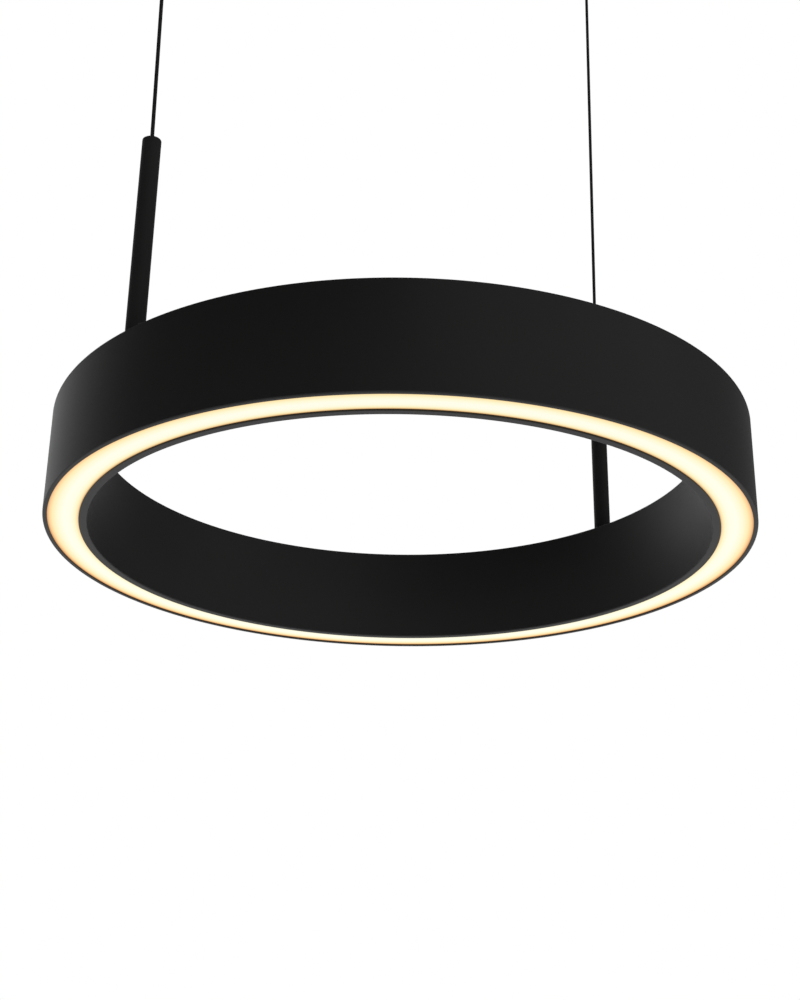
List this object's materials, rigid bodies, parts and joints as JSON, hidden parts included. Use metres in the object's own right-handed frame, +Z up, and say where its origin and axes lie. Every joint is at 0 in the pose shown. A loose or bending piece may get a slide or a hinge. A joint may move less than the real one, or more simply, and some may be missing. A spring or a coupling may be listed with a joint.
{
  "type": "led ring chandelier",
  "caption": "Ring-shaped pendant lamp with a lit underside, hung level on two thin cables through upright tubes from a straight ceiling canopy.",
  "frame": {"origin": "centre of the ceiling plate's upper face, on the ceiling", "axes": "+Z up into the ceiling, +X along the canopy through both cables, ring level below"},
  "size_m": [0.6254, 0.6, 0.85],
  "materials": {
    "powder_black": "fine matte black powder coat",
    "zinc_steel": "zinc-plated pressed steel",
    "aluminium_rivet": "bare aluminium",
    "nickel": "satin nickel plate",
    "bearing_steel": "polished steel",
    "spring_steel": "bright drawn wire and strip",
    "driver_plastic": "white moulded polycarbonate",
    "circuit_board": "green solder mask with dark parts",
    "terminal_nylon": "natural white nylon",
    "terminal_brass": "bare brass",
    "bush_rubber": "matte black rubber",
    "earth_green": "green and yellow insulation",
    "lead_brown": "brown insulation",
    "lead_white": "white silicone insulation",
    "cable_black": "black jacket over a steel strand",
    "tray_aluminium": "mill-finish sheet",
    "board_white": "white solder mask on aluminium",
    "led_phosphor": "yellow phosphor, warm white when lit",
    "opal_acrylic": "satin opal acrylic, lit from behind"
  },
  "bodies": {
    "root": {"ceiling_plate": "zinc_steel", "gripper_bracket_left": "zinc_steel", "gripper_bracket_right": "zinc_steel", "bracket_rivets": "aluminium_rivet", "gripper_body_left": "nickel", "gripper_body_right": "nickel", "gripper_nuts": "nickel", "grip_spring_left": "spring_steel", "grip_spring_right": "spring_steel", "driver_case": "driver_plastic", "driver_lid": "driver_plastic", "driver_board": "circuit_board", "terminal_housing": "terminal_nylon", "terminal_inserts": "terminal_brass", "terminal_screws": "zinc_steel", "fixing_screws": "zinc_steel", "mains_bush": "bush_rubber", "earth_screw": "terminal_brass", "earth_lead": "earth_green", "supply_leads": "lead_brown", "tail_left": "cable_black", "tail_right": "cable_black", "clinch_nuts": "zinc_steel", "cover_screws": "powder_black"},
    "cover": {"cover": "powder_black"},
    "nozzle_left": {"nozzle_left": "nickel", "grip_balls_left": "bearing_steel"},
    "nozzle_right": {"nozzle_right": "nickel", "grip_balls_right": "bearing_steel"},
    "cables": {"cable_left": "cable_black", "cable_right": "cable_black"},
    "ferrules": {"ball_ferrule_left": "bearing_steel", "ball_ferrule_right": "bearing_steel"},
    "pendant": {"tube_cap_left": "powder_black", "tube_cap_right": "powder_black", "tube_left": "powder_black", "tube_right": "powder_black", "tube_foot_left": "zinc_steel", "tube_foot_right": "zinc_steel", "foot_washers": "zinc_steel", "foot_nuts": "zinc_steel", "top_plate": "powder_black", "plate_screws": "powder_black", "outer_shell": "powder_black", "inner_shell": "powder_black", "shell_brackets": "zinc_steel", "tray_posts": "tray_aluminium", "led_tray": "tray_aluminium", "tray_screws": "zinc_steel", "board_connectors": "terminal_nylon", "led_board_1": "board_white", "led_board_2": "board_white", "led_board_3": "board_white", "led_board_4": "board_white", "leds": "led_phosphor", "board_jumpers": "lead_white", "drop_leads": "lead_white", "diffuser": "opal_acrylic", "diffuser_clips": "spring_steel"}
  },
  "joints": [
    {"name": "cover_drop", "type": "slide", "parent": "root", "child": "cover", "axis": [0, 0, -1], "range_m": [0, 0.034]},
    {"name": "grip_release_left", "type": "slide", "parent": "root", "child": "nozzle_left", "axis": [0, 0, 1], "range_m": [0, 0.002], "stiffness_N_per_m": 500, "springref_m": -0.002, "deforming": ["grip_spring_left"]},
    {"name": "grip_release_right", "type": "slide", "parent": "root", "child": "nozzle_right", "axis": [0, 0, 1], "range_m": [0, 0.002], "stiffness_N_per_m": 500, "springref_m": -0.002, "deforming": ["grip_spring_right"]},
    {"name": "swing", "type": "hinge", "parent": "root", "child": "cables", "pos_m": [0, 0, -0.044], "axis": [1, 0, 0], "range_deg": [-10, 10]},
    {"name": "height_adjust", "type": "slide", "parent": "cables", "child": "ferrules", "axis": [0, 0, 1], "range_m": [0, 0.4], "deforming": ["cable_left", "cable_right"]},
    {"name": "nod", "type": "hinge", "parent": "ferrules", "child": "pendant", "pos_m": [0, 0, -0.5832], "axis": [1, 0, 0], "range_deg": [-8, 8]}
  ]
}
